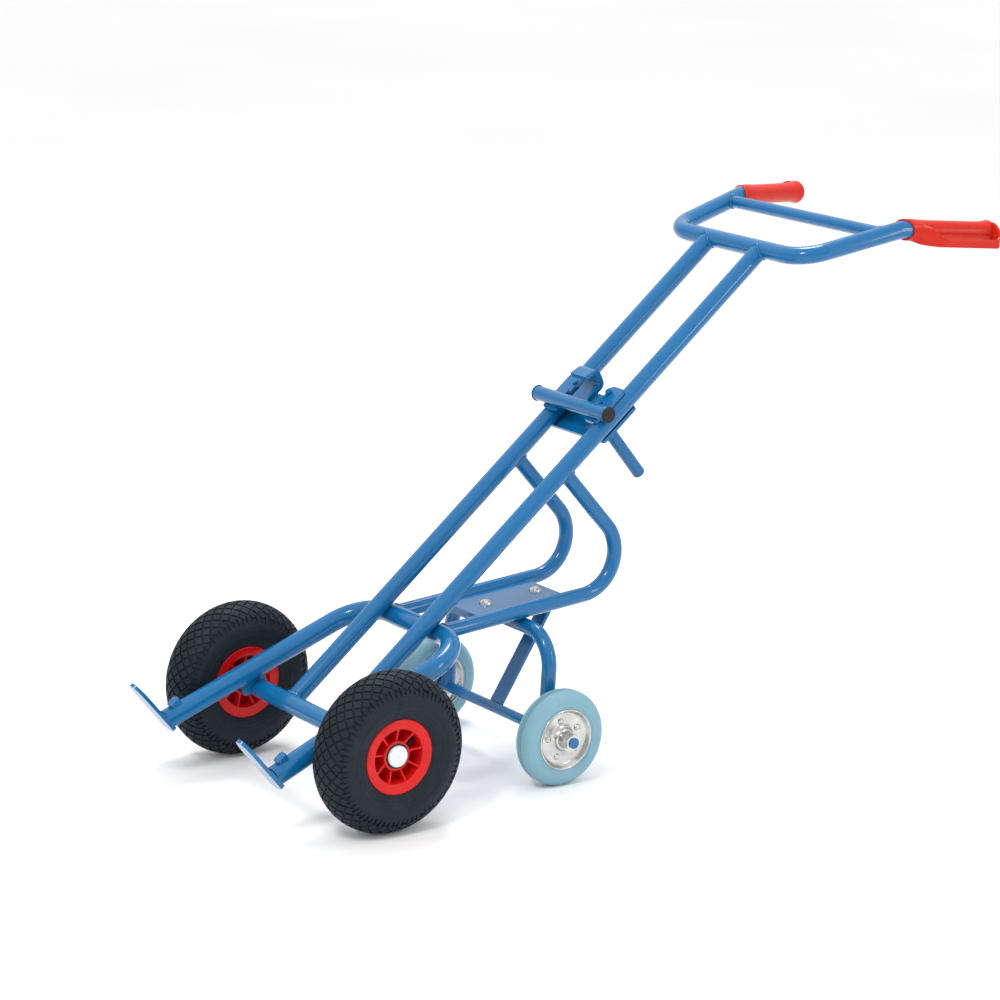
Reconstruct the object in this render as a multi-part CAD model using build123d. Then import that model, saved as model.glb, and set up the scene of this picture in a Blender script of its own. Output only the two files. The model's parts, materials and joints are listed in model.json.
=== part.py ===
from build123d import *
from math import cos, hypot, pi, radians, sin
import os

# Drum truck, in its working lean and standing on all four wheels.
#
# The frame is welded steel tube: two uprights, a bent handle tube, a bent toe tube that crosses behind
# the uprights, and two skid loops that carry a bolted carriage with two solid-tyred support wheels.
# A drum hook slides on the uprights. Pneumatic main wheels turn on a solid axle.
#
# +X is the operator's left, +Y runs from the toe to the handles, +Z is up and the floor is z = 0.

# ---------------------------------------------------------------- driving dimensions (millimetres)
MAIN_RADIUS = 130.0           # pneumatic tyre, 260 mm across
MAIN_WIDTH = 84.0
MAIN_TRACK = 225.5            # wheel's middle plane, from the truck's middle
RIM_RADIUS = 60.6
SUPPORT_RADIUS = 80.0         # solid rubber tyre, 160 mm across
SUPPORT_WIDTH = 40.0
SUPPORT_TRACK = 181.5
SUPPORT_REACH = 363.5         # support axle, behind the main axle

LEAN = 39.94                  # uprights above the floor, degrees
FRAME_TUBE = 30.0             # uprights and handle
FRAME_WALL = 2.0
UPRIGHT_X = 67.5              # upright's centre, from the truck's middle
UPRIGHT_BACK = 5.5            # uprights' plane, behind the main axle

HANDLE_ALONG = 1092.0         # handle crossbar, along the uprights
HANDLE_HALF = 172.7           # crossbar's corners
HANDLE_BEND = 58.0
ARM_SPLAY = 11.5              # arms, outwards
ARM_RISE = 12.6               # arms, above level
ARM_LENGTH = 192.0            # corner to the bend before the grip
GRIP_BEND = 32.0
GRIP_SPLAY = 13.3
GRIP_DROP = 3.6               # grips, below level
GRIP_LENGTH = 169.0           # bend to the grip's end
BRACE_TUBE = 22.0
BRACE_ALONG = 160.0           # brace, along the arms from the corners

TOE_TUBE = 33.7
TOE_WALL = 3.2
TOE_BEND = 73.0
TOE_END = -149.5              # arms' lower ends, along the uprights
TOE_PLATE_LENGTH = 115.0
TOE_PLATE_WIDTH = 34.0
TOE_PLATE_THICK = 6.0
TOE_PAD = 1.5                 # raised part of the tongue, under the arm

LOOP_TUBE = 25.0
LOOP_BEND = 67.0
LOOP_SLOPE = 4.6              # lower runs and plates, degrees
PLATE_FRONT = 293.0
PLATE_REAR = 465.0
PLATE_THICK = 6.0
SUPPORT_PLATE_THICK = 10.0
ARCH_HALF = 140.0             # arch leg, from the truck's middle

AXLE_TUBE = 31.8
AXLE_TUBE_HALF = 175.0
AXLE_ROD = 20.0
SUPPORT_ROD = 18.0

HOOK_ALONG = 679.0            # hook carriage's cross tube, along the uprights
CROSS_TUBE = 25.0
LEVER_TUBE = 22.0
LEVER_LENGTH = 146.0

RUNNING = 0.05                # radial clearance of a wheel on its axle
AIR = 0.3                     # gap between pieces that turn or slide past each other
SLIDER_AIR = 0.6              # hook carriage to the uprights

UP = Vector(0, cos(radians(LEAN)), sin(radians(LEAN)))
BACK = Vector(0, sin(radians(LEAN)), -cos(radians(LEAN)))
AXLE = Vector(0, 0, MAIN_RADIUS)
SUPPORT_AXLE = Vector(0, SUPPORT_REACH, SUPPORT_RADIUS)

parts = {}


# ---------------------------------------------------------------- helpers
def at(across, along, back):
    """Point from its place across the truck, along the uprights and behind the uprights' plane."""
    return AXLE + Vector(across, 0, 0) + UP * along + BACK * (back + UPRIGHT_BACK)


def flipped(point):
    return Vector(-point.X, point.Y, point.Z)


def rod(points, diameter, bend=0):
    """Solid round bar along straight runs joined by arcs."""
    path = Line(*points) if len(points) == 2 else FilletPolyline(*points, radius=bend)
    return sweep(Plane(origin=path @ 0, z_dir=path % 0) * Circle(diameter / 2), path=path)


def tube(points, diameter, wall, bend=0):
    """Round tube, open at its ends."""
    return rod(points, diameter, bend) - rod(points, diameter - 2 * wall, bend)


def both_sides(name, left_piece):
    """Keep a left-hand piece and its mirror image."""
    parts[name + "_left"] = left_piece
    parts[name + "_right"] = mirror(left_piece, about=Plane.YZ)


def disc_x(radius, start, end, centre):
    """Cylinder along X between two places across the truck."""
    place = Plane(origin=(start, centre.Y, centre.Z), z_dir=(1, 0, 0))
    return extrude(place * Circle(radius), amount=end - start)


def ring_x(radius, bore, start, end, centre):
    return disc_x(radius, start, end, centre) - disc_x(bore, start, end, centre)


def wheel_plane(track, centre):
    """Left wheel's middle plane, local +Z outwards."""
    return Plane(origin=(track, centre.Y, centre.Z), x_dir=(0, 1, 0), z_dir=(1, 0, 0))


def turned(*profile):
    """Solid of revolution about Z of a closed profile of (radius, height) points."""
    return revolve(Plane.XZ * make_face(Polyline(*profile, close=True)), axis=Axis.Z)


def box_between(low, high):
    size = [b - a for a, b in zip(low, high)]
    return Pos(*low) * Box(*size, align=(Align.MIN, Align.MIN, Align.MIN))


# Local frames: the uprights' (X across, Y along, Z towards the drum) and the sloping plates'.
LADDER = Plane(origin=at(0, 0, 0), x_dir=(1, 0, 0), z_dir=-BACK)
SLOPE = Plane(
    origin=(0, PLATE_FRONT, 258.0),
    x_dir=(1, 0, 0),
    z_dir=(0, -sin(radians(LOOP_SLOPE)), cos(radians(LOOP_SLOPE))),
)


# ---------------------------------------------------------------- handle and grips
def direction(splay, rise):
    level = cos(radians(splay))
    return Vector(sin(radians(splay)), level * cos(radians(rise)), level * sin(radians(rise)))


CORNER = at(HANDLE_HALF, HANDLE_ALONG, 0)
ARM = direction(ARM_SPLAY, ARM_RISE)
GRIP = direction(GRIP_SPLAY, -GRIP_DROP)
ELBOW = CORNER + ARM * ARM_LENGTH


def handle_rod(diameter):
    half = [CORNER, ELBOW, ELBOW + GRIP * (GRIP_LENGTH - 5)]
    points = [flipped(p) for p in reversed(half)] + half
    path = FilletPolyline(*points, radius=[GRIP_BEND, HANDLE_BEND, HANDLE_BEND, GRIP_BEND])
    return sweep(Plane(origin=path @ 0, z_dir=path % 0) * Circle(diameter / 2), path=path)


def make_handle():
    handle = handle_rod(FRAME_TUBE)
    parts["handle_tube"] = handle - handle_rod(FRAME_TUBE - 2 * FRAME_WALL)
    middle = CORNER + ARM * BRACE_ALONG
    parts["handle_brace"] = tube([flipped(middle), middle], BRACE_TUBE, 2) - handle
    return handle


def make_grips(handle):
    """Grip with a knuckle guard that leaves the collar, runs outside the fingers and joins the end."""
    collar = rod([ELBOW - ARM * 8, ELBOW, ELBOW + GRIP * 22], 37, GRIP_BEND)
    outwards = Vector(1, 0, 0) - GRIP * GRIP.X
    axis_plane = Plane(origin=ELBOW, x_dir=outwards, z_dir=GRIP)
    end = GRIP_LENGTH
    body = axis_plane * turned(
        (0, 18), (18.5, 18), (17, 34), (17.4, end - 22), (20, end - 12), (20, end - 4), (16, end), (0, end)
    )
    route = FilletPolyline(
        (14, 6), (30, 10), (47, 36), (47, end - 24), (36, end - 5), (10, end - 5), radius=14
    )
    strip = extrude(Plane.XZ * trace(route, line_width=4.5), amount=7.5, both=True)
    guard = axis_plane * Rot(0, 0, 17) * strip
    both_sides("grip", collar + body + guard - handle)


# ---------------------------------------------------------------- uprights, axle tube and toe
def make_uprights(handle, axle_tube):
    ends = [at(UPRIGHT_X, 2, 0), at(UPRIGHT_X, HANDLE_ALONG, 0)]
    solid = rod(ends, FRAME_TUBE)
    bore = rod(ends, FRAME_TUBE - 2 * FRAME_WALL)
    both_sides("upright", solid - bore - handle - axle_tube)
    return solid + mirror(solid, about=Plane.YZ)


def make_toe_tube(uprights):
    end = at(165.2, TOE_END, -92.2)
    corner = at(145.4, 229.8, 31.2)
    points = [end, corner, flipped(corner), flipped(end)]
    solid = rod(points, TOE_TUBE, TOE_BEND)
    parts["toe_tube"] = solid - rod(points, TOE_TUBE - 2 * TOE_WALL, TOE_BEND) - uprights
    return solid, end, corner


def make_toe_plates(toe, end, corner):
    """Rounded tongues under the arms' ends, raised where an arm stands, and a small drum stop on each arm."""
    arm = (corner - end).normalized()
    foot = Plane(origin=end, x_dir=(-1, 0, 0), z_dir=UP)
    reach = 22.0
    nose = TOE_PLATE_LENGTH - reach
    half = TOE_PLATE_WIDTH / 2
    outline = make_face(
        Polyline((-half, -reach + 8), (-half, nose - 45))
        + Spline((-half, nose - 45), (0, nose), (half, nose - 45), tangents=[(0, 1), (0, -1)])
        + Polyline((half, nose - 45), (half, -reach + 8))
        + ThreePointArc((half, -reach + 8), (0, -reach), (-half, -reach + 8))
    )
    tongue = extrude(outline, amount=-TOE_PLATE_THICK)
    pad = extrude(outline, amount=TOE_PAD) & Pos(0, 20 - 40, 0) * Box(80, 80, 20)
    both_sides("toe_plate", foot * (tongue + pad))
    below = foot * Pos(0, 0, TOE_PAD - 50) * Box(120, 120, 100)
    parts["toe_tube"] = parts["toe_tube"] - below - mirror(below, about=Plane.YZ)
    stop_plane = Plane(origin=end + arm * 30, x_dir=(1, 0, 0), z_dir=-BACK)
    stop = stop_plane * Pos(0, 0, 12) * extrude(RectangleRounded(16, 20, 5), amount=13)
    both_sides("drum_stop", stop - toe)


def make_axle_tube():
    solid = disc_x(AXLE_TUBE / 2, -AXLE_TUBE_HALF, AXLE_TUBE_HALF, AXLE)
    bore = disc_x(AXLE_ROD / 2, -AXLE_TUBE_HALF, AXLE_TUBE_HALF, AXLE)
    parts["axle_tube"] = solid - bore
    return solid


def make_axle_gussets(toe, axle_tube, end, corner):
    """Plates that carry the toe arms on the axle tube where they pass over it."""
    share = -TOE_END / (229.8 - TOE_END)
    crossing = end + (corner - end) * share
    middle = (crossing + AXLE + Vector(crossing.X, 0, 0)) * 0.5
    arm = (corner - end).normalized()
    plane = Plane(origin=middle, x_dir=(0, arm.Y, arm.Z), z_dir=(1, 0, 0))
    gusset = plane * Box(46, 34, 6)
    both_sides("axle_gusset", gusset - toe - axle_tube)


# ---------------------------------------------------------------- skid loops and support carriage
def make_loops(uprights, toe):
    top = Vector(UPRIGHT_X, 440.5, 489.5)
    heel = Vector(UPRIGHT_X, 626.7, 285.0)
    front = Vector(UPRIGHT_X, 201.0, 250.6)
    solid = rod([top, heel, front], LOOP_TUBE, LOOP_BEND)
    bore = rod([top, heel, front], LOOP_TUBE - 5, LOOP_BEND)
    both_sides("skid_loop", solid - bore - uprights - toe)
    return solid + mirror(solid, about=Plane.YZ)


def bolt_places():
    return [47.0, 148.0]


def make_plates(loops):
    length = PLATE_REAR - PLATE_FRONT
    top = 2.0
    low = top - PLATE_THICK
    lowest = low - SUPPORT_PLATE_THICK
    mounting = SLOPE * box_between((-57, 0, low), (57, length, top)) - loops
    support = SLOPE * box_between((-50, 4, lowest), (50, length - 4, low)) - loops
    holes = [SLOPE * Pos(0, y, 0) * Cylinder(5.2, 60) for y in bolt_places()]
    parts["mounting_plate"] = mounting - holes
    parts["support_plate"] = support - holes
    bolts = []
    washers = []
    nuts = []
    for y in bolt_places():
        head = turned((0, 2), (11, 2), (9.8, 5.2), (6, 7.6), (0, 8.2))
        shank = Pos(0, 0, (lowest - 14 + 2) / 2) * Cylinder(5, 2 - lowest + 14)
        bolts.append(SLOPE * Pos(0, y, 0) * (head + shank))
        washers.append(SLOPE * Pos(0, y, lowest - 1) * (Cylinder(10.5, 2) - Cylinder(5, 2)))
        nut = extrude(RegularPolygon(9.8, 6) - Circle(5), amount=-8)
        nuts.append(SLOPE * Pos(0, y, lowest - 2) * nut)
    parts["plate_bolts"] = Compound(children=bolts)
    parts["plate_washers"] = Compound(children=washers)
    parts["plate_nuts"] = Compound(children=nuts)
    return SLOPE * box_between((-300, -200, lowest), (300, 400, 60))


def make_support_frame(loops, above_plate):
    axle = disc_x(SUPPORT_ROD / 2, -223, 223, SUPPORT_AXLE)
    parts["support_axle"] = axle
    foot = SUPPORT_AXLE + Vector(ARCH_HALF, 2, 0)
    shoulder = Vector(ARCH_HALF, 372.0, 238.0)
    points = [foot, shoulder, flipped(shoulder), flipped(foot)]
    plate = parts["support_plate"]
    parts["support_arch"] = tube(points, LOOP_TUBE, 2.5, 57) - axle - loops - plate
    start = SUPPORT_AXLE + Vector(0, 4, 8)
    run = Vector(0, 470, 251) - start
    lie = Plane(origin=start, x_dir=(1, 0, 0), z_dir=run)
    strut = lie * box_between((-15, -3, 0), (15, 3, run.length + 30))
    parts["support_strut"] = strut - above_plate - axle


# ---------------------------------------------------------------- main wheels
def make_main_wheels():
    """Tyre with its inner tube on a ribbed moulded rim that turns on two bearings."""
    place = wheel_plane(MAIN_TRACK, AXLE)
    section = MAIN_WIDTH / 2
    centre = MAIN_RADIUS - section
    hub_half = 25.0
    bearing = 20.5

    rim = turned(
        (46, -30), (RIM_RADIUS, -33), (RIM_RADIUS, -29), (53, -27), (51, -20),
        (51, 20), (53, 27), (RIM_RADIUS, 29), (RIM_RADIUS, 33), (46, 30),
    )
    hub = Cylinder(25, 2 * hub_half)
    web = Cylinder(48, 6)
    ribs = [Rot(0, 0, 90 + 40 * i) * Pos(35, 0, 0) * Box(28, 4, 46) for i in range(9)]
    rim = rim + hub + web + ribs - Cylinder(bearing, 100)
    stop = Cylinder(bearing, 2 * (hub_half - 11)) - Cylinder(15, 2 * (hub_half - 11))
    rim = rim + stop

    carcass = revolve(Plane.XZ * Pos(centre, 0) * Circle(section), axis=Axis.Z)
    chamber = revolve(Plane.XZ * Pos(centre, 0) * Circle(section - 8), axis=Axis.Z)
    tyre = carcass - chamber - Cylinder(51, 100) - rim
    lining = revolve(Plane.XZ * Pos(centre, 0) * Circle(section - 10), axis=Axis.Z)
    seal = Cylinder(bearing, 11) - Cylinder(AXLE_ROD / 2 + RUNNING, 11)
    seals = [Pos(0, 0, side * (hub_half - 5.5)) * seal for side in (-1, 1)]
    stem = extrude(Circle(3), amount=22)
    stem = Rot(0, 0, 30) * Pos(46, 0, 12) * Rot(0, -68, 0) * stem

    both_sides("main_tyre", place * tyre)
    both_sides("main_inner_tube", place * (chamber - lining))
    both_sides("main_rim", place * rim)
    both_sides("main_bearings", place * Compound(children=seals))
    both_sides("main_valve", place * (stem - rim))

    inner_face = MAIN_TRACK - hub_half
    outer_face = MAIN_TRACK + hub_half
    both_sides("main_spacer", ring_x(14, AXLE_ROD / 2, AXLE_TUBE_HALF, inner_face - AIR, AXLE))
    rod_end = outer_face + 2.2
    parts["axle_rod"] = disc_x(AXLE_ROD / 2, -rod_end, rod_end, AXLE)
    cap = Plane(origin=(outer_face + AIR, 0, MAIN_RADIUS), z_dir=(1, 0, 0)) * turned(
        (0, 0), (17.2, 0), (17.2, 1.6), (15, 3.6), (9, 4.7), (0, 4.9)
    )
    both_sides("axle_cap", cap - parts["axle_rod"])


# ---------------------------------------------------------------- support wheels
def make_support_wheels():
    """Solid rubber tyre on a dished rim with a hub tube, kept on by a collar and an axle nut."""
    place = wheel_plane(SUPPORT_TRACK, SUPPORT_AXLE)
    half = SUPPORT_WIDTH / 2
    rim_radius = 51.0
    shoulder = 16.5
    tread = half - shoulder
    bulge = shoulder * cos(radians(45))
    shoulders = [
        ThreePointArc(
            (SUPPORT_RADIUS - shoulder, side * half),
            (SUPPORT_RADIUS - shoulder + bulge, side * (tread + bulge)),
            (SUPPORT_RADIUS, side * tread),
        )
        for side in (-1, 1)
    ]
    inside = Polyline(
        (SUPPORT_RADIUS - shoulder, half), (rim_radius, half - 1),
        (rim_radius, 1 - half), (SUPPORT_RADIUS - shoulder, -half),
    )
    outline = shoulders[0] + Line((SUPPORT_RADIUS, -tread), (SUPPORT_RADIUS, tread)) + shoulders[1] + inside
    tyre = revolve(Plane.XZ * make_face(outline), axis=Axis.Z)
    hub_radius = 15.0
    hub_inner = 26.0
    hub_outer = 29.0
    rim = turned(
        (hub_radius, 3), (24, 3), (28, 11), (40, 11), (45, 16), (rim_radius, 18),
        (rim_radius, -18), (45, -16), (40, -11), (28, -11), (24, -3), (hub_radius, -3),
    )
    holes = [Rot(0, 0, 60 * i) * Pos(34, 0, 0) * Cylinder(4, 60) for i in range(6)]
    hub = Cylinder(hub_radius, hub_inner + hub_outer) - Cylinder(SUPPORT_ROD / 2 + RUNNING, 2 * hub_outer)
    hub = Pos(0, 0, (hub_outer - hub_inner) / 2) * hub
    both_sides("support_tyre", place * tyre)
    both_sides("support_rim", place * (rim - holes))
    both_sides("support_hub", place * hub)

    bore = SUPPORT_ROD / 2
    inner = SUPPORT_TRACK - hub_inner - AIR
    outer = SUPPORT_TRACK + hub_outer + AIR
    both_sides("support_collar", ring_x(14, bore, inner - 2.5, inner, SUPPORT_AXLE))
    both_sides("support_washer", ring_x(16, bore, outer, outer + 2, SUPPORT_AXLE))
    nut_place = Plane(origin=(outer + 2, SUPPORT_AXLE.Y, SUPPORT_AXLE.Z), z_dir=(1, 0, 0))
    nut = nut_place * extrude(RegularPolygon(15, 6) - Circle(bore), amount=8)
    both_sides("support_nut", nut)


# ---------------------------------------------------------------- hook carriage
def make_hook_carriage():
    """Plate and straps that clasp the uprights, with the cross tube, the hook and the lever."""
    face = FRAME_TUBE / 2 + SLIDER_AIR
    plate_low = HOOK_ALONG - 26
    plate_high = HOOK_ALONG + 59
    strap_x = 57.0
    clamp_x = 46.5
    clamps = [HOOK_ALONG + 22, HOOK_ALONG + 46]
    clamp_spots = [(side * clamp_x, along) for side in (-1, 1) for along in clamps]

    plate_middle = (plate_low + plate_high) / 2
    outline = RectangleRounded(152, plate_high - plate_low, 8)
    plate = LADDER * Pos(0, plate_middle, -face - 6) * extrude(outline, amount=6)
    strap = extrude(RectangleRounded(34, 77, 7), amount=5)
    straps = LADDER * Pos(strap_x, HOOK_ALONG + 21, face) * strap
    straps = [straps, mirror(straps, about=Plane.YZ)]
    holes = [LADDER * Pos(x, y, 0) * Cylinder(4, 80) for x, y in clamp_spots]
    parts["hook_back_plate"] = plate - holes
    parts["hook_straps"] = Compound(children=[piece - holes for piece in straps])

    rest = -(face + CROSS_TUBE / 2 - 0.1)
    tube_ends = [at(-97, HOOK_ALONG, rest), at(97, HOOK_ALONG, rest)]
    cross = rod(tube_ends, CROSS_TUBE)
    parts["hook_cross_tube"] = tube(tube_ends, CROSS_TUBE, 2.5) - straps
    plug_place = Plane(origin=at(97, HOOK_ALONG, rest), z_dir=(1, 0, 0))
    plug = turned((0, -12), (10, -12), (10, 0), (13.8, 0), (12.8, 1.8), (0, 2.8))
    left_plug = plug_place * plug
    parts["cross_tube_plugs"] = Compound(children=[left_plug, mirror(left_plug, about=Plane.YZ)])

    lever_spot = LADDER * Pos(0, HOOK_ALONG + 24.5, -face - 6)
    lever = extrude(Circle(LEVER_TUBE / 2) - Circle(LEVER_TUBE / 2 - 2), amount=-LEVER_LENGTH)
    parts["lever_tube"] = lever_spot * lever
    grip_end = turned((0, 14), (9, 14), (9, 0), (11, 0), (10, -1.8), (0, -2.8))
    parts["lever_plug"] = lever_spot * Pos(0, 0, -LEVER_LENGTH) * grip_end

    high = -rest
    route = FilletPolyline(
        (HOOK_ALONG, high - 6), (HOOK_ALONG + 55, high - 6), (HOOK_ALONG + 62, high + 22),
        (HOOK_ALONG + 36, high + 28), radius=9,
    )
    bar = extrude(trace(route, line_width=8), amount=20, both=True)
    hook_place = Plane(origin=at(0, 0, 0), x_dir=UP, z_dir=(1, 0, 0))
    parts["hook"] = hook_place * bar - cross

    bolts = []
    nuts = []
    for x, y in clamp_spots:
        head = Pos(0, 0, face + 5 + 2.2) * Cylinder(6, 4.4)
        shank_low = -face - 6 - 8.5
        shank = Pos(0, 0, (face + 5 + shank_low) / 2) * Cylinder(4, face + 5 - shank_low)
        bolts.append(LADDER * Pos(x, y, 0) * (head + shank))
        nut = extrude(RegularPolygon(7.4, 6) - Circle(4), amount=-6.5)
        nuts.append(LADDER * Pos(x, y, -face - 6) * nut)
    parts["clamp_bolts"] = Compound(children=bolts)
    parts["clamp_nuts"] = Compound(children=nuts)


# ---------------------------------------------------------------- the whole truck
def build():
    handle = make_handle()
    make_grips(handle)
    axle_tube = make_axle_tube()
    uprights = make_uprights(handle, axle_tube)
    toe, end, corner = make_toe_tube(uprights)
    make_toe_plates(toe, end, corner)
    make_axle_gussets(toe, axle_tube, end, corner)
    loops = make_loops(uprights, toe)
    above_plate = make_plates(loops)
    make_support_frame(loops, above_plate)
    make_main_wheels()
    make_support_wheels()
    make_hook_carriage()


def middle_of(shapes):
    """Half way along Y of everything together."""
    boxes = [shape.bounding_box() for shape in shapes]
    return (min(box.min.Y for box in boxes) + max(box.max.Y for box in boxes)) / 2


build()
SHIFT = -middle_of(parts.values())
if __name__ == "__main__":
    os.makedirs("parts", exist_ok=True)
    for name, shape in parts.items():
        export_step(Pos(0, SHIFT, 0) * shape, os.path.join("parts", name + ".step"))
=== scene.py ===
import json
import math
import bpy
from mathutils import Matrix, Vector


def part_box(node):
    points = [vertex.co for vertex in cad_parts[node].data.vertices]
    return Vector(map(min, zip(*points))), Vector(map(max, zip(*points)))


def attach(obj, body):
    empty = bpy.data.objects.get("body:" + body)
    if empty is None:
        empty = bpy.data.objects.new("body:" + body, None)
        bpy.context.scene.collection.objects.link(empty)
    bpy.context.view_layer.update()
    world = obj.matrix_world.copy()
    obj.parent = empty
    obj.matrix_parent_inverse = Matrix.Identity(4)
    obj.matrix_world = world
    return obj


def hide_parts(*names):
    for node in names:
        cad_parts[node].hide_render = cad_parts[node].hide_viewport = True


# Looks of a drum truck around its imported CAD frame: treaded pneumatic tyres on ribbed rims, solid
# support tyres on pressed rims, guarded grips, weld beads and the finish of every part.
# Metres. +X is the operator's left, +Y runs from the toe to the handles, +Z is up.

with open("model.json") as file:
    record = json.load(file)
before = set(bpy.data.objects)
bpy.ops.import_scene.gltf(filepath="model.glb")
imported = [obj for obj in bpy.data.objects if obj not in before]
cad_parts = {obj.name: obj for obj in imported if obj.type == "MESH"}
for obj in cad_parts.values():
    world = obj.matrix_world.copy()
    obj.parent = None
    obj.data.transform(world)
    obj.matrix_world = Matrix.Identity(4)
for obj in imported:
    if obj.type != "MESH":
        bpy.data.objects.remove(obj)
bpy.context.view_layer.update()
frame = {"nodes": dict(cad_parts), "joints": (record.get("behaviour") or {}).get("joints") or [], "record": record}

MM = 0.001
SIDES = {"left": 1, "right": -1}
JOINTS = {joint["name"]: joint for joint in frame["joints"]}

# ---------------------------------------------------------------- driving dimensions
MAIN_CENTRE = Vector(JOINTS["main_wheel_left_spin"]["pos_m"])
SUPPORT_CENTRE = Vector(JOINTS["support_wheel_left_spin"]["pos_m"])
AXLE = Vector((0, MAIN_CENTRE.y, MAIN_CENTRE.z))
ACROSS = Vector((1, 0, 0))
UP = Vector(JOINTS["hook_slide"]["axis"]).normalized()      # along the uprights
BACK = Vector((0, UP.z, -UP.y))                             # square to the uprights' plane

MAIN_RADIUS = 130 * MM          # over the tread
SECTION = 42 * MM               # radius of the tyre's round section
RING = MAIN_RADIUS - SECTION    # circle through the section's middle
CHAMBER = SECTION - 8 * MM      # radius of the air chamber
TREAD_DEPTH = 2.4 * MM
TREAD_ROOT = SECTION - TREAD_DEPTH
TREAD_EDGE = 62                 # where the carcass starts to rise to the sidewall, degrees from the crown
SIDEWALL_GROOVES = (93, 97, 108, 116)
SIDEWALL_GROOVE = 0.6 * MM      # depth

COLUMNS = 38                    # tread blocks round the tyre
ROWS = 4                        # rows of blocks on each side of the middle one
PITCH = 2 * math.pi * MAIN_RADIUS / COLUMNS
ROW = 8.6 * MM                  # from one row to the next
GAP_ACROSS = 1.6 * MM           # from a block's corner to the middle line of the next row
GAP_AROUND = 2 * MM             # from a block's corner to the middle of the next row's block
BLOCK_FOOT = 1.5 * MM           # sunk into the carcass
BLOCK_CHAMFER = 0.45 * MM
BLOCK_TOP = 0.92                # share of the block's outline that its top has
RIB_END = 55 * MM               # shoulder ribs' ends, over the surface from the crown
RIB_BESIDE = 2 * MM             # start of a rib that lies between two outer blocks, past their row
RIB_BEYOND = 9 * MM             # start of a rib that lies in line with a block
RIB_WIDE, RIB_THIN = 0.20 * PITCH, 0.19 * PITCH

RIM_RADIUS = 60.6 * MM
HUB_FACE = 25 * MM
POCKETS = 9
SPOKE_REACH = (22, 30, 38, 45)  # stations along a rib between two pockets, mm from the axle
SPOKE_HALF = (2.6, 1.5, 1.5, 2.3)
SPOKE_HEIGHT = (22, 24.5, 27, 28.8)
SPOKE_FOOT = 3
SPOKE_BEVEL = 0.7
SEAL_RADIUS = 20.5 * MM
CAP_RADIUS = 17.2 * MM

SUPPORT_RADIUS = 80 * MM
SUPPORT_HALF = 20 * MM          # half the support tyre's width
SUPPORT_SHOULDER = 16.5 * MM
SUPPORT_GROOVE = 1.8 * MM       # depth
SUPPORT_RIM = 51 * MM
BOSSES = 5
BOSS_START = math.radians(30)
BOSS_REACH = 31 * MM
BOSS_RADIUS = 5.4 * MM
BOSS_DOME = ((1.0, 9.8), (0.98, 11.8), (0.84, 13.4), (0.55, 14.5), (0.2, 14.9))   # share, height in mm

TUBE_RADIUS = 15 * MM           # uprights and handle
AXLE_TUBE_RADIUS = 15.9 * MM
TOE_RADIUS = 16.85 * MM
LOOP_RADIUS = 12.5 * MM
BRACE_RADIUS = 11 * MM
UPRIGHT_X = 67.5 * MM
UPRIGHT_BACK = 5.5 * MM
HANDLE_ALONG = 1092 * MM
HANDLE_HALF = 172.7 * MM
BRACE_ALONG = 160 * MM
TOE_BAR = (229.8 * MM, 31.2 * MM)       # toe tube's crossing, along and behind the uprights
LOOP_TOP = (440.5 * MM, 359.5 * MM)     # skid loop's ends, behind and above the axle
LOOP_FRONT = (201 * MM, 120.6 * MM)
LOOP_DROP, LOOP_SLOPE = math.radians(47.679), math.radians(4.606)
BEAD_RADIUS = 2.6 * MM

ARM_SPLAY, ARM_RISE = math.radians(11.5), math.radians(12.6)
ARM_LENGTH = 192 * MM
GRIP_SPLAY, GRIP_RISE = math.radians(13.3), math.radians(-3.6)
GRIP_LENGTH = 169 * MM
ELBOW_HALF = 9 * MM             # half the length over which the grip's mouth follows the bend
COLLAR = 17.6 * MM              # radius that the guard's start curls round
GUARD_HALF = 2.1 * MM           # half the guard's thickness
GUARD_EDGE_HALF = 1.5 * MM
GUARD_START = 16                # guard's start, mm behind the elbow
GUARD_TURN = 12                 # size of its rear corner, mm
GUARD_OUT = 47                  # its outer side, mm from the handle's middle
GUARD_TOP, GUARD_LOW = 7, 21.5  # its edges, mm below the handle's middle
GUARD_STEPS = 72


def at(across, along, back):
    """Point from its place across the truck, along the uprights and behind the uprights' plane."""
    return AXLE + Vector((across, 0, 0)) + UP * along + BACK * (back + UPRIGHT_BACK)


def direction(splay, rise):
    """Unit vector to the rear, turned outwards by splay and upwards by rise."""
    level = math.cos(splay)
    return Vector((math.sin(splay), level * math.cos(rise), level * math.sin(rise)))


CORNER = at(HANDLE_HALF, HANDLE_ALONG, 0)
ARM = direction(ARM_SPLAY, ARM_RISE)
GRIP = direction(GRIP_SPLAY, GRIP_RISE)
ELBOW = CORNER + ARM * ARM_LENGTH
OUTWARDS = (ACROSS - GRIP * GRIP.x).normalized()
DOWN = GRIP.cross(OUTWARDS)


# ---------------------------------------------------------------- materials
NOISE_LOW, NOISE_HIGH = 0.3, 0.7    # most of a noise texture's values lie between these


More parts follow.
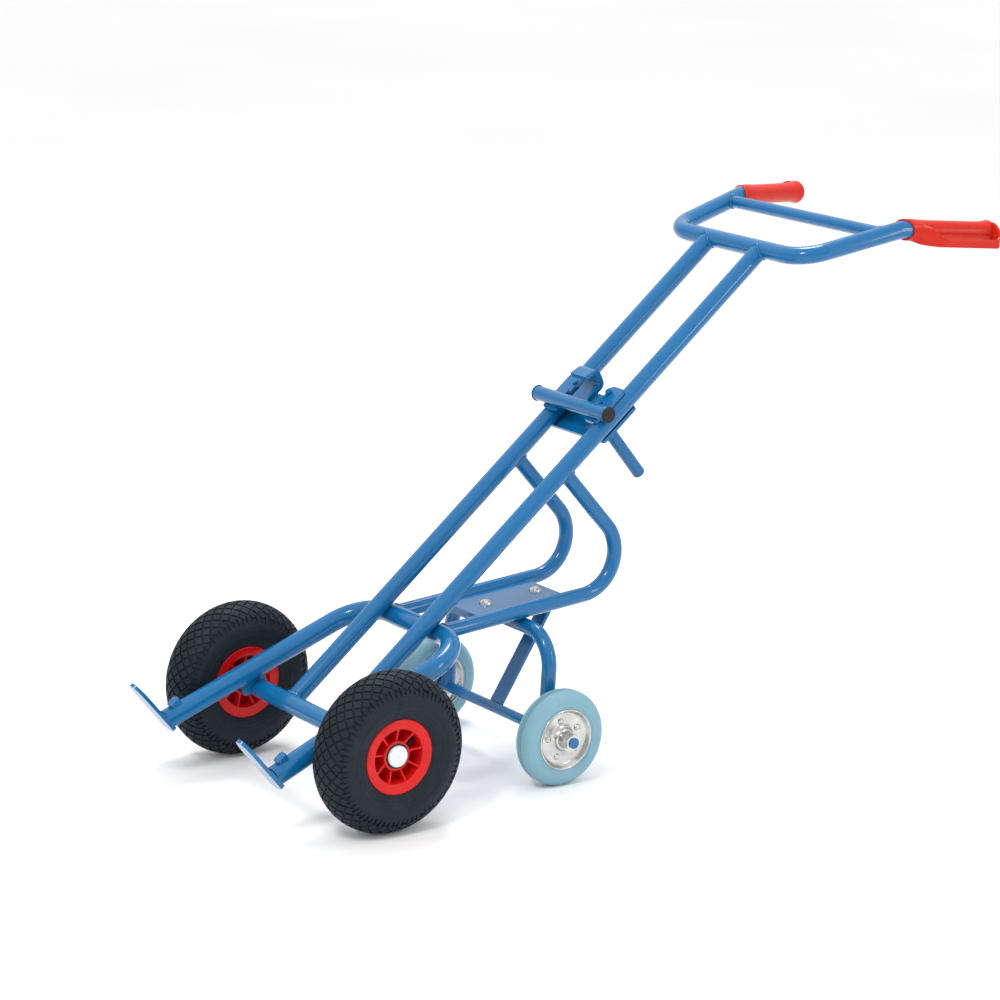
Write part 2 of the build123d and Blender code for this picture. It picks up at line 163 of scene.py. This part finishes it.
class Nodes:
    """Short hand for one material's node tree."""

    def __init__(self, name):
        self.material = bpy.data.materials.new(name)
        self.material.use_nodes = True
        self.tree = self.material.node_tree
        self.shader = self.tree.nodes["Principled BSDF"]
        self.place = self.add("ShaderNodeTexCoord").outputs["Object"]

    def feed(self, socket, value):
        """Link a socket to another, or set its value."""
        if isinstance(value, bpy.types.NodeSocket):
            self.tree.links.new(value, socket)
        else:
            socket.default_value = value

    def add(self, kind, **inputs):
        """New node; an input's name has _ for each space."""
        node = self.tree.nodes.new(kind)
        for name, value in inputs.items():
            self.feed(node.inputs[name.replace("_", " ")], value)
        return node

    def noise(self, scale, detail=3.0, roughness=0.5):
        node = self.add("ShaderNodeTexNoise", Scale=scale, Detail=detail, Roughness=roughness)
        self.feed(node.inputs["Vector"], self.place)
        return node.outputs["Fac"]

    def ramp(self, value, low, high):
        """Number that runs from low to high with a noise."""
        spread = {"From_Min": NOISE_LOW, "From_Max": NOISE_HIGH, "To_Min": low, "To_Max": high}
        return self.add("ShaderNodeMapRange", Value=value, **spread).outputs["Result"]

    def tint(self, value, dark, light):
        """Colour that runs from dark to light with a noise."""
        node = self.add("ShaderNodeValToRGB", Fac=value)
        ends = node.color_ramp.elements
        for end, place, colour in ((ends[0], NOISE_LOW, dark), (ends[1], NOISE_HIGH, light)):
            end.position = place
            end.color = (*colour, 1)
        return node.outputs["Color"]

    def bump(self, height, strength, distance):
        node = self.add("ShaderNodeBump", Strength=strength, Distance=distance, Height=height)
        self.feed(self.shader.inputs["Normal"], node.outputs["Normal"])

    def set(self, **inputs):
        """Set or link the shader's inputs, and return the material."""
        for name, value in inputs.items():
            self.feed(self.shader.inputs[name.replace("_", " ")], value)
        return self.material


def shade(colour, share):
    """Colour made lighter or darker."""
    return tuple(min(1.0, channel * share) for channel in colour)


def coated_paint(name, colour):
    """Powder coat: faint orange peel, slightly uneven gloss and depth of colour."""
    n = Nodes(name)
    n.bump(n.noise(900, 2), 0.03, 0.0003)
    base = n.tint(n.noise(7, 4), shade(colour, 0.96), shade(colour, 1.04))
    n.set(Base_Color=base, Roughness=n.ramp(n.noise(24, 3), 0.20, 0.26), Specular_IOR_Level=0.2)
    return n.set(Coat_Weight=0.5, Coat_Roughness=0.04)


def moulded_plastic(name, colour, low, high, grain=1400, depth=0.01):
    """Injection moulding: fine grain and a soft, uneven gloss."""
    n = Nodes(name)
    n.bump(n.noise(grain, 2), depth, 0.0003)
    base = n.tint(n.noise(14, 3), shade(colour, 0.92), shade(colour, 1.08))
    return n.set(Base_Color=base, Roughness=n.ramp(n.noise(90), low, high), Specular_IOR_Level=0.25)


def rubber(name, colour, low, high, spread):
    """Moulded rubber, with dust that lightens it in patches."""
    n = Nodes(name)
    n.bump(n.noise(700, 4, 0.7), 0.22, 0.0005)
    base = n.tint(n.noise(26, 5, 0.65), shade(colour, 1 - spread), shade(colour, 1 + spread))
    return n.set(Base_Color=base, Roughness=n.ramp(n.noise(120, 4), low, high), Specular_IOR_Level=0.2)


def zinc_plate(name, colour):
    """Bright zinc: metallic, with cloudy gloss and fine rolling marks."""
    n = Nodes(name)
    n.bump(n.noise(420, 3), 0.03, 0.0003)
    base = n.tint(n.noise(45, 4), shade(colour, 0.82), shade(colour, 1.12))
    return n.set(Base_Color=base, Metallic=1.0, Roughness=n.ramp(n.noise(80, 4), 0.12, 0.26))


FINISH = {
    "frame_blue": coated_paint("paint_blue", (0.003, 0.122, 0.31)),
    "grip_red": moulded_plastic("plastic_grip", (0.52, 0.016, 0.006), 0.26, 0.36),
    "rim_red": moulded_plastic("plastic_rim", (0.58, 0.006, 0.006), 0.16, 0.26),
    "tyre_black": rubber("rubber_tyre", (0.008, 0.014, 0.021), 0.48, 0.64, 0.2),
    "tube_rubber": rubber("rubber_tube", (0.012, 0.012, 0.013), 0.5, 0.6, 0.1),
    "valve_rubber": rubber("rubber_valve", (0.012, 0.014, 0.015), 0.35, 0.5, 0.1),
    "seal_black": moulded_plastic("seal_black", (0.012, 0.013, 0.015), 0.35, 0.5),
    "cap_white": moulded_plastic("plastic_cap", (0.74, 0.76, 0.77), 0.22, 0.34),
    "tyre_grey": rubber("rubber_grey", (0.20, 0.37, 0.45), 0.34, 0.48, 0.06),
    "zinc": zinc_plate("zinc_bright", (0.56, 0.56, 0.55)),
    "plug_black": moulded_plastic("plastic_plug", (0.014, 0.015, 0.016), 0.42, 0.6, 900, 0.1),
}

for entry in frame["record"]["subparts"]:
    node = frame["nodes"][entry["node"]]
    node.data.materials.clear()
    node.data.materials.append(FINISH[entry["material_slot"]])


# ---------------------------------------------------------------- mesh helpers
def turns(count):
    """Angles of equal steps round a circle."""
    return [2 * math.pi * i / count for i in range(count)]


def smooth(value):
    """Eased step from 0 to 1."""
    value = min(1.0, max(0.0, value))
    return value * value * (3 - 2 * value)


def ease(value, start, end, before, after):
    """Number that goes smoothly from before to after while value goes from start to end."""
    return before + (after - before) * smooth((value - start) / (end - start))


def mm(*points):
    """Points given in millimetres, in metres."""
    return [tuple(value * MM for value in point) for point in points]


def mirrored(profile):
    """Profile's mirror image in the wheel's middle plane, in reverse order."""
    return [(radius, -height) for radius, height in reversed(profile)]


def arc(centre, radius, start, end, steps):
    """Points (radius, height) on an arc in the profile's plane, in degrees."""
    angles = [math.radians(start + (end - start) * i / steps) for i in range(steps + 1)]
    return [(centre[0] + radius * math.cos(a), centre[1] + radius * math.sin(a)) for a in angles]


def wheel_place(centre):
    """From a wheel's own coordinates, with +Z outwards on the left wheel, to the truck's."""
    return lambda x, y, z: (centre.x + z, centre.y + x, centre.z + y)


class Shape:
    """Vertices and faces that grow piece by piece, for the left side."""

    def __init__(self):
        self.verts = []
        self.faces = []

    def add(self, verts, faces):
        start = len(self.verts)
        self.verts += [tuple(v) for v in verts]
        self.faces += [tuple(start + i for i in face) for face in faces]

    def rings(self, rings, closed):
        """Skin over rings of equal length; closed joins the last ring to the first."""
        size = len(rings[0])
        verts = [p for ring in rings for p in ring]
        faces = []
        for i in range(len(rings) if closed else len(rings) - 1):
            a, b = i * size, (i + 1) % len(rings) * size
            for j in range(size):
                k = (j + 1) % size
                faces.append((a + j, a + k, b + k, b + j))
        if not closed:
            faces.append(tuple(range(size))[::-1])
            faces.append(tuple((len(rings) - 1) * size + j for j in range(size)))
        self.add(verts, faces)

    def lathe(self, place, profile, segments):
        """Turn a closed profile of (radius, height) points about place's local Z."""
        rings = [[place(r * math.cos(t), r * math.sin(t), h) for r, h in profile] for t in turns(segments)]
        self.rings(rings, True)

    def block(self, base, top):
        """Closed block between two outlines of equal length."""
        size = len(base)
        faces = [tuple(range(size))[::-1], tuple(range(size, 2 * size))]
        faces += [(i, (i + 1) % size, size + (i + 1) % size, size + i) for i in range(size)]
        self.add(base + top, faces)


def piece(name, shape, finish, body, side=1, replaces=(), sharp=38):
    """Blender object of a left-hand shape, or of its mirror image, that rides on a CAD body."""
    verts = [(x * side, y, z) for x, y, z in shape.verts]
    faces = [face[::side] for face in shape.faces]
    mesh = bpy.data.meshes.new(name)
    mesh.from_pydata(verts, [], faces)
    mesh.validate()
    mesh.materials.append(FINISH[finish])
    mesh.shade_smooth()
    mesh.set_sharp_from_angle(angle=math.radians(sharp))
    obj = bpy.data.objects.new(name, mesh)
    bpy.context.scene.collection.objects.link(obj)
    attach(obj, body)
    if replaces:
        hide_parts(*replaces)
    return obj


# ---------------------------------------------------------------- main wheels
def tyre_profile():
    """Carcass: crown under the tread, sidewall with fine grooves, beads, and the air chamber."""
    steps, pitch = 112, 1.1         # points on each side of the crown, and degrees between them
    outer = []
    for step in range(-steps, steps + 1):
        degrees = pitch * step
        radius = SECTION - TREAD_DEPTH * (1 - smooth((abs(degrees) - TREAD_EDGE) / 15))
        for groove in SIDEWALL_GROOVES:
            radius -= SIDEWALL_GROOVE * math.exp(-(abs(degrees) - groove) ** 2)
        angle = math.radians(degrees)
        outer.append((RING + radius * math.cos(angle), radius * math.sin(angle)))
    bead = mm((56, 27.5), (53, 27), (52, 22))
    return outer + bead + arc((RING, 0), CHAMBER, 142, -142, 40) + mirrored(bead)


def on_tyre(around, across, height):
    """Wheel point from its way round the tyre, its way across from the crown, and its height."""
    turn = around / MAIN_RADIUS
    lean = across / TREAD_ROOT
    radius = TREAD_ROOT + height
    reach = RING + radius * math.cos(lean)
    return reach * math.cos(turn), reach * math.sin(turn), radius * math.sin(lean)


def add_block(shape, place, outline, cuts):
    """Tread block with chamfered edges, whose sides bend with the tyre at their cuts."""
    middle = [sum(p[i] for p in outline) / len(outline) for i in (0, 1)]
    rim = []
    for a, b in zip(outline, outline[1:] + outline[:1]):
        rim += [(a[0] + (b[0] - a[0]) * i / cuts, a[1] + (b[1] - a[1]) * i / cuts) for i in range(cuts)]

    def level(share, height):
        points = [(middle[0] + (u - middle[0]) * share, middle[1] + (v - middle[1]) * share) for u, v in rim]
        return [place(*on_tyre(u, v, height)) for u, v in points]

    edge = level(1.0, TREAD_DEPTH - BLOCK_CHAMFER)
    shape.block(level(1.0, -BLOCK_FOOT), edge)
    shape.block(edge, level(BLOCK_TOP, TREAD_DEPTH))


def add_diamonds(shape, place):
    """Rows of diamond blocks, with every other row half a pitch on."""
    half_around = PITCH / 2 - GAP_AROUND
    half_across = ROW - GAP_ACROSS
    for row in range(-ROWS, ROWS + 1):
        for column in range(COLUMNS):
            u = PITCH * (column + 0.5 * (row % 2))
            v = ROW * row
            diamond = [(u - half_around, v), (u, v - half_across), (u + half_around, v), (u, v + half_across)]
            add_block(shape, place, diamond, 2)


def add_shoulder_ribs(shape, place):
    """Ribs down both shoulders, between the outer blocks and in line with them in turn."""
    for rib in range(2 * COLUMNS):
        u = PITCH * rib / 2
        in_line = rib % 2 == ROWS % 2
        low = ROW * ROWS + (RIB_BEYOND if in_line else RIB_BESIDE)
        corners = [(u - RIB_WIDE, low), (u + RIB_WIDE, low), (u + RIB_THIN, RIB_END), (u - RIB_THIN, RIB_END)]
        for end in (-1, 1):
            add_block(shape, place, [(a, end * b) for a, b in corners][::end], 5)


def make_tyre(side_name, side):
    """Pneumatic tyre: the carcass, its diamond tread and its shoulder ribs."""
    place = wheel_place(MAIN_CENTRE)
    shape = Shape()
    shape.lathe(place, tyre_profile(), 144)
    add_diamonds(shape, place)
    add_shoulder_ribs(shape, place)
    node = "main_tyre_" + side_name
    piece(node + "_treaded", shape, "tyre_black", "main_wheel_" + side_name, side, [node], 30)


def rim_profile():
    """Flange, face, pocket floor and rolled hub edge, the same on the far side, and the barrel."""
    flange = arc((RIM_RADIUS - 2 * MM, 31 * MM), 2 * MM, -60, 90, 6)
    face = mm((46.5, 30.6)) + arc((45.2 * MM, 29 * MM), 1.5 * MM, 90, 170, 4)
    floor = mm((42.0, 6), (40.5, 4.6), (26.5, 4.6), (25, 8))
    hub = [(24 * MM, HUB_FACE - 4 * MM)] + arc((22.6 * MM, HUB_FACE - 1.4 * MM), 1.4 * MM, 0, 90, 4)
    outer = flange + face + floor + hub + [(SEAL_RADIUS, HUB_FACE)]
    return outer + mirrored(outer) + mm((53, -27), (51, -20), (51, 20), (53, 27))


def add_spoke(shape, place, turn, end):
    """Rib between two pockets on one face of the rim, with a spread foot and a bevelled top."""

    def outline(share, heights):
        points = []
        for hand in (-1, 1):
            for reach, half, height in list(zip(SPOKE_REACH, SPOKE_HALF, heights))[::-hand]:
                shift = hand * half * share
                x = reach * math.cos(turn) - shift * math.sin(turn)
                y = reach * math.sin(turn) + shift * math.cos(turn)
                points.append(place(x * MM, y * MM, end * height * MM))
        return points[::end]

    edge = outline(1.0, [height - SPOKE_BEVEL for height in SPOKE_HEIGHT])
    shape.block(outline(1.25, [SPOKE_FOOT] * len(SPOKE_REACH)), edge)
    shape.block(edge, outline(0.7, SPOKE_HEIGHT))


def make_rim(side_name, side):
    """Moulded rim: wide flange, deep pockets between ribs, and a hub with a rolled edge."""
    place = wheel_place(MAIN_CENTRE)
    shape = Shape()
    shape.lathe(place, rim_profile(), 108)
    for turn in turns(POCKETS):
        for end in (-1, 1):
            add_spoke(shape, place, math.pi / 2 + turn, end)
    node = "main_rim_" + side_name
    piece(node + "_ribbed", shape, "rim_red", "main_wheel_" + side_name, side, [node], 40)


def make_axle_cap(side_name, side):
    """Push-on cap with a turned edge and a small pip in its middle."""
    place = wheel_place(Vector((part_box("axle_cap_left")[0].x, AXLE.y, AXLE.z)))
    edge = arc((CAP_RADIUS - 1.5 * MM, 2.6 * MM), 1.5 * MM, 0, 90, 5)
    dish = mm((14.4, 3.6), (8, 3.9), (2.6, 4.1))
    pip = mm((2.2, 3.7), (1.6, 4.5), (0.3, 4.7), (0.3, 0))
    shape = Shape()
    shape.lathe(place, [(CAP_RADIUS, 0)] + edge + dish + pip, 64)
    node = "axle_cap_" + side_name
    piece(node + "_pressed", shape, "cap_white", "frame", side, [node])


# ---------------------------------------------------------------- support wheels
def make_support_tyre(side_name, side):
    """Solid tyre with a rounded tread, two fine grooves round it and a raised ring by the rim."""
    radius, half, shoulder = SUPPORT_RADIUS, SUPPORT_HALF, SUPPORT_SHOULDER
    floor = radius - SUPPORT_GROOVE
    tread = [(radius, 0), (radius, 1.2 * MM), (floor, 1.6 * MM), (floor, 3.0 * MM), (radius, 3.4 * MM)]
    wall = arc((radius - shoulder, half - shoulder), shoulder, 2, 84, 20)
    wall += [(61 * MM, half - 0.5 * MM), (58.6 * MM, half - 0.9 * MM)]
    ring = arc((56.4 * MM, half - 1.9 * MM), 1.5 * MM, 60, 150, 4)
    bead = [(53 * MM, half - 2.2 * MM), (SUPPORT_RIM, half - 2.4 * MM)]
    outer = tread + wall + ring + bead
    shape = Shape()
    shape.lathe(wheel_place(SUPPORT_CENTRE), outer + mirrored(outer[1:]), 120)
    node = "support_tyre_" + side_name
    piece(node + "_grooved", shape, "tyre_grey", "support_wheel_" + side_name, side, [node], 32)


def add_boss(shape, place, turn, end):
    """Domed boss on one face of a pressed disc."""
    rings = []
    for share, height in BOSS_DOME:
        ring = []
        for t in turns(20):
            x = BOSS_REACH * math.cos(turn) + BOSS_RADIUS * share * math.cos(end * t)
            y = BOSS_REACH * math.sin(turn) + BOSS_RADIUS * share * math.sin(end * t)
            ring.append(place(x, y, end * height * MM))
        rings.append(ring)
    shape.rings(rings, False)


def make_support_rim(side_name, side):
    """Two pressed discs, back to back, with a rolled lip, a stepped dish, domed bosses and a hub cup."""
    place = wheel_place(SUPPORT_CENTRE)
    lip = [(SUPPORT_RIM, 18.1 * MM)] + arc((49.6 * MM, 17.9 * MM), 1.3 * MM, 20, 150, 5)
    step = mm((46.5, 16), (44.5, 12.4), (43, 11.2), (40.5, 10.8))
    dish = mm((30, 11.4), (21, 11.6), (19, 13), (18.2, 16.5))
    outer = lip + step + dish + mm((17.4, 17.6), (15, 18))
    shape = Shape()
    shape.lathe(place, outer + mirrored(outer), 96)
    for turn in turns(BOSSES):
        for end in (-1, 1):
            add_boss(shape, place, BOSS_START + turn, end)
    node = "support_rim_" + side_name
    piece(node + "_pressed", shape, "zinc", "support_wheel_" + side_name, side, [node], 50)


# ---------------------------------------------------------------- grips
def grip_ring(middle, radius, slant):
    """Ring about the tube, which bends at the elbow; slant sets its outer side further back."""
    ring = []
    for t in turns(48):
        along = middle + slant * math.cos(t)
        heading = ARM.lerp(GRIP, smooth(0.5 + along / ELBOW_HALF / 2)).normalized()
        centre = ELBOW + (ARM if along < 0 else GRIP) * along
        out = (OUTWARDS - heading * OUTWARDS.dot(heading)).normalized()
        ring.append(tuple(centre + out * radius * math.cos(t) + heading.cross(out) * radius * math.sin(t)))
    return ring


def handle_rings():
    """Slanted mouth, collar, handle and flared end, from (along, radius, slant) in millimetres."""
    end = GRIP_LENGTH / MM
    mouth = mm((5.1, 15.2, 10.5), (4.5, 16.4, 10.5), (4.7, 17.6, 10.5), (5.7, 18.2, 10.5))
    collar = mm((11, 18.4, 8.5), (18, 18.3, 5), (27, 18.0, 1.5), (35, 17.4, 0))
    handle = mm((60, 17.2, 0), (100, 17.3, 0), (end - 26, 17.5, 0), (end - 17, 18.2, 0))
    flare = mm((end - 11, 19.6, 0), (end - 7, 20.3, 0), (end - 3, 20.2, 0))
    cap = mm((end - 1, 19.2, 0), (end, 17.0, 0), (end, 0.5, 0))
    return [grip_ring(*station) for station in mouth + collar + handle + flare + cap]


def guard_side(share):
    """Guard's long side, from the collar back to its corner: along, out and edges in mm, and curl."""
    along = GUARD_START + (GRIP_LENGTH / MM - GUARD_START - GUARD_TURN) * share
    out = ease(along, -9, 55, 1.5455, GUARD_OUT)
    top = ease(along, 18, 68, -15.5, GUARD_TOP)
    low = ease(along, 12, 30, 17, GUARD_LOW)
    return along, out, top, low, ease(along, 14, 44, 1, 0)


def guard_end(share):
    """The same for its corner and its end wall, which runs in to the handle's end."""
    bend = 0.55                 # share of this stretch that goes round the corner
    turn = math.radians(90 * min(1.0, share / bend))
    along = GRIP_LENGTH / MM - GUARD_TURN + 10 * math.sin(turn)
    inwards = 26 * max(0.0, share - bend) / (1 - bend)
    out = GUARD_OUT - GUARD_TURN * (1 - math.cos(turn)) - inwards
    return along, out, ease(share, 0, 0.9, GUARD_TOP, -18), ease(share, 0.6, 1, GUARD_LOW, 19), 0


def guard_section(along, out, top, low, curl, tangent):
    """Cross-section of the guard's strip, which curls round the collar where it leaves it."""
    centre = ELBOW + GRIP * along + OUTWARDS * out
    course = (OUTWARDS * tangent[0] + GRIP * tangent[1]).normalized()
    normal = course.cross(DOWN).normalized()
    steps = 12
    wall = []
    for i in range(steps + 1):
        level = top + (low - top) * i / steps
        bow = COLLAR - math.sqrt(COLLAR ** 2 - min(abs(level), 0.96 * COLLAR) ** 2)
        half = GUARD_EDGE_HALF if i in (0, steps) else GUARD_HALF
        wall.append((half, centre + DOWN * level - OUTWARDS * bow * curl))
    loop = [point + normal * half for half, point in wall]
    loop += [point - normal * half for half, point in reversed(wall)]
    return [tuple(point) for point in loop]


def guard_sections():
    """Cross-sections along the guard's route, each square to the route."""
    side_share = 0.8            # share of the steps that the long side takes
    route = []
    for i in range(GUARD_STEPS + 1):
        share = i / GUARD_STEPS
        if share < side_share:
            *place, curl = guard_side(share / side_share)
        else:
            *place, curl = guard_end((share - side_share) / (1 - side_share))
        route.append((*mm(place)[0], curl))
    sections = []
    for i, station in enumerate(route):
        a, b = route[max(0, i - 1)], route[min(GUARD_STEPS, i + 1)]
        sections.append(guard_section(*station, (b[1] - a[1], b[0] - a[0])))
    return sections


def make_grip(side_name, side):
    """Collar, handle with a flared end, and the guard that sweeps from the collar round to the end."""
    shape = Shape()
    shape.rings(handle_rings(), False)
    shape.rings(guard_sections(), False)
    node = "grip_" + side_name
    piece(node + "_guarded", shape, "grip_red", "frame", side, [node], 40)


# ---------------------------------------------------------------- weld beads
def bead(name, path, side):
    """Rippled weld bead along a closed path of points."""
    shape = Shape()
    rings = []
    for i, point in enumerate(path):
        tangent = (path[(i + 1) % len(path)] - path[i - 1]).normalized()
        way = Vector((0, 0, 1)) - tangent * tangent.z
        way = tangent.orthogonal().normalized() if way.length < 0.2 else way.normalized()
        other = tangent.cross(way)
        swell = BEAD_RADIUS * (1 + 0.16 * math.sin(2.1 * i))
        ring = [point + way * swell * math.cos(t) + other * swell * math.sin(t) for t in turns(10)]
        rings.append(ring)
    shape.rings(rings, True)
    piece(name, shape, "frame_blue", "frame", side)


def saddle(centre, heading, radius, main_point, main_way, main_radius):
    """Where a round branch, which leaves along heading, meets a round main tube."""
    across = heading.orthogonal().normalized()
    other = heading.cross(across)
    points = []
    for t in turns(72):
        start = centre + across * radius * math.cos(t) + other * radius * math.sin(t)
        gap = start - main_point
        gap -= main_way * gap.dot(main_way)
        way = heading - main_way * heading.dot(main_way)
        a, b, c = way.dot(way), gap.dot(way), gap.dot(gap) - main_radius * main_radius
        root = math.sqrt(max(0.0, b * b - a * c))
        points.append(start + heading * ((root - b) / a))
    return points


def make_welds():
    """Beads where the uprights, the skid loops and the brace meet other tubes."""
    handle_bar = at(0, HANDLE_ALONG, 0)
    toe_bar = at(0, *TOE_BAR)
    foot = at(UPRIGHT_X, 0, 0)
    head = at(UPRIGHT_X, HANDLE_ALONG, 0)
    loop_top = AXLE + Vector((UPRIGHT_X, *LOOP_TOP))
    loop_front = AXLE + Vector((UPRIGHT_X, *LOOP_FRONT))
    loop_down, loop_level = direction(0, -LOOP_DROP), direction(0, LOOP_SLOPE)
    brace_end = CORNER + ARM * BRACE_ALONG
    seams = {
        "handle": saddle(head, -UP, TUBE_RADIUS, handle_bar, ACROSS, TUBE_RADIUS),
        "axle": saddle(foot, UP, TUBE_RADIUS, AXLE, ACROSS, AXLE_TUBE_RADIUS),
        "loop": saddle(loop_top, loop_down, LOOP_RADIUS, head, UP, TUBE_RADIUS),
        "toe": saddle(loop_front, loop_level, LOOP_RADIUS, toe_bar, ACROSS, TOE_RADIUS),
        "brace": saddle(brace_end, -ACROSS, BRACE_RADIUS, CORNER, ARM, TUBE_RADIUS),
    }
    for side_name, side in SIDES.items():
        for seam, path in seams.items():
            bead(f"weld_{seam}_{side_name}", path, side)


# ---------------------------------------------------------------- put together
for side_name, side in SIDES.items():
    make_tyre(side_name, side)
    make_rim(side_name, side)
    make_axle_cap(side_name, side)
    make_support_tyre(side_name, side)
    make_support_rim(side_name, side)
    make_grip(side_name, side)
make_welds()


# ---------------------------------------------------------------- studio
FLOOR_REACH = 60
LAMP_TARGET = Vector((0, 0, 0.4))
LAMPS = {                               # place, size and power in watts
    "key": ((1.2, -2.6, 3.2), (0.7, 0.7), 45),
    "top": ((-1.0, 0.8, 3.4), (0.8, 1.2), 50),
    "fill": ((3.4, 1.6, 1.6), (0.5, 1.8), 20),
}
SKY = {"From Min": 0.25, "From Max": 0.6, "To Min": 0.8, "To Max": 1.1}     # strength by height
CAMERA_TURNS = (54.14, 14.02, 1.57)     # azimuth, elevation and roll, degrees
CAMERA_DISTANCE = 5.196
CAMERA_LENS = 115.2                     # mm, on a 36 mm sensor


def make_floor():
    """Wide, pale, matt floor."""
    n = Nodes("floor_pale")
    base = n.tint(n.noise(0.6, 2), (0.93, 0.93, 0.93), (0.96, 0.96, 0.96))
    n.set(Base_Color=base, Roughness=0.75)
    corners = [(x * FLOOR_REACH, y * FLOOR_REACH, 0) for x, y in ((-1, -1), (1, -1), (1, 1), (-1, 1))]
    mesh = bpy.data.meshes.new("floor")
    mesh.from_pydata(corners, [], [(0, 1, 2, 3)])
    mesh.materials.append(n.material)
    floor = bpy.data.objects.new("floor", mesh)
    bpy.context.scene.collection.objects.link(floor)


def make_world():
    """White surroundings, brighter above than at the horizon."""
    world = bpy.data.worlds.new("studio")
    bpy.context.scene.world = world
    world.use_nodes = True
    tree = world.node_tree
    height = tree.nodes.new("ShaderNodeSeparateXYZ")
    tree.links.new(tree.nodes.new("ShaderNodeTexCoord").outputs["Generated"], height.inputs["Vector"])
    spread = tree.nodes.new("ShaderNodeMapRange")
    tree.links.new(height.outputs["Z"], spread.inputs["Value"])
    for name, value in SKY.items():
        spread.inputs[name].default_value = value
    backdrop = tree.nodes["Background"]
    backdrop.inputs["Color"].default_value = (1, 1, 1, 1)
    tree.links.new(spread.outputs["Result"], backdrop.inputs["Strength"])


def make_lamps():
    """Rectangular studio lamps, turned to the truck's middle."""
    for name, (spot, size, power) in LAMPS.items():
        light = bpy.data.lights.new(name, "AREA")
        light.shape = "RECTANGLE"
        light.size, light.size_y = size
        light.energy = power
        lamp = bpy.data.objects.new(name, light)
        bpy.context.scene.collection.objects.link(lamp)
        lamp.location = spot
        lamp.rotation_euler = (LAMP_TARGET - Vector(spot)).to_track_quat("-Z", "Y").to_euler()


def make_camera():
    """Seen from the operator's left, ahead of the wheels and a little above."""
    azimuth, elevation, roll = (math.radians(a) for a in CAMERA_TURNS)
    level = Vector((math.cos(azimuth), math.sin(azimuth), 0))
    away = Vector((math.sin(azimuth), -math.cos(azimuth), 0)) * math.cos(elevation)
    away += Vector((0, 0, math.sin(elevation)))
    upright = away.cross(level)
    right = level * math.cos(roll) + upright * math.sin(roll)
    top = upright * math.cos(roll) - level * math.sin(roll)
    aim = Vector((0, AXLE.y + 0.250, 0.400)) + right * 0.093 + top * 0.049
    spot = aim + away * CAMERA_DISTANCE
    camera = bpy.data.objects.new("camera", bpy.data.cameras.new("camera"))
    camera.data.lens = CAMERA_LENS
    camera.data.sensor_width = 36
    camera.data.clip_end = 200
    camera.matrix_world = Matrix((
        (right.x, top.x, away.x, spot.x),
        (right.y, top.y, away.y, spot.y),
        (right.z, top.z, away.z, spot.z),
        (0, 0, 0, 1),
    ))
    bpy.context.scene.collection.objects.link(camera)
    bpy.context.scene.camera = camera


make_floor()
make_world()
make_lamps()
make_camera()
bpy.context.scene.view_settings.view_transform = "Standard"
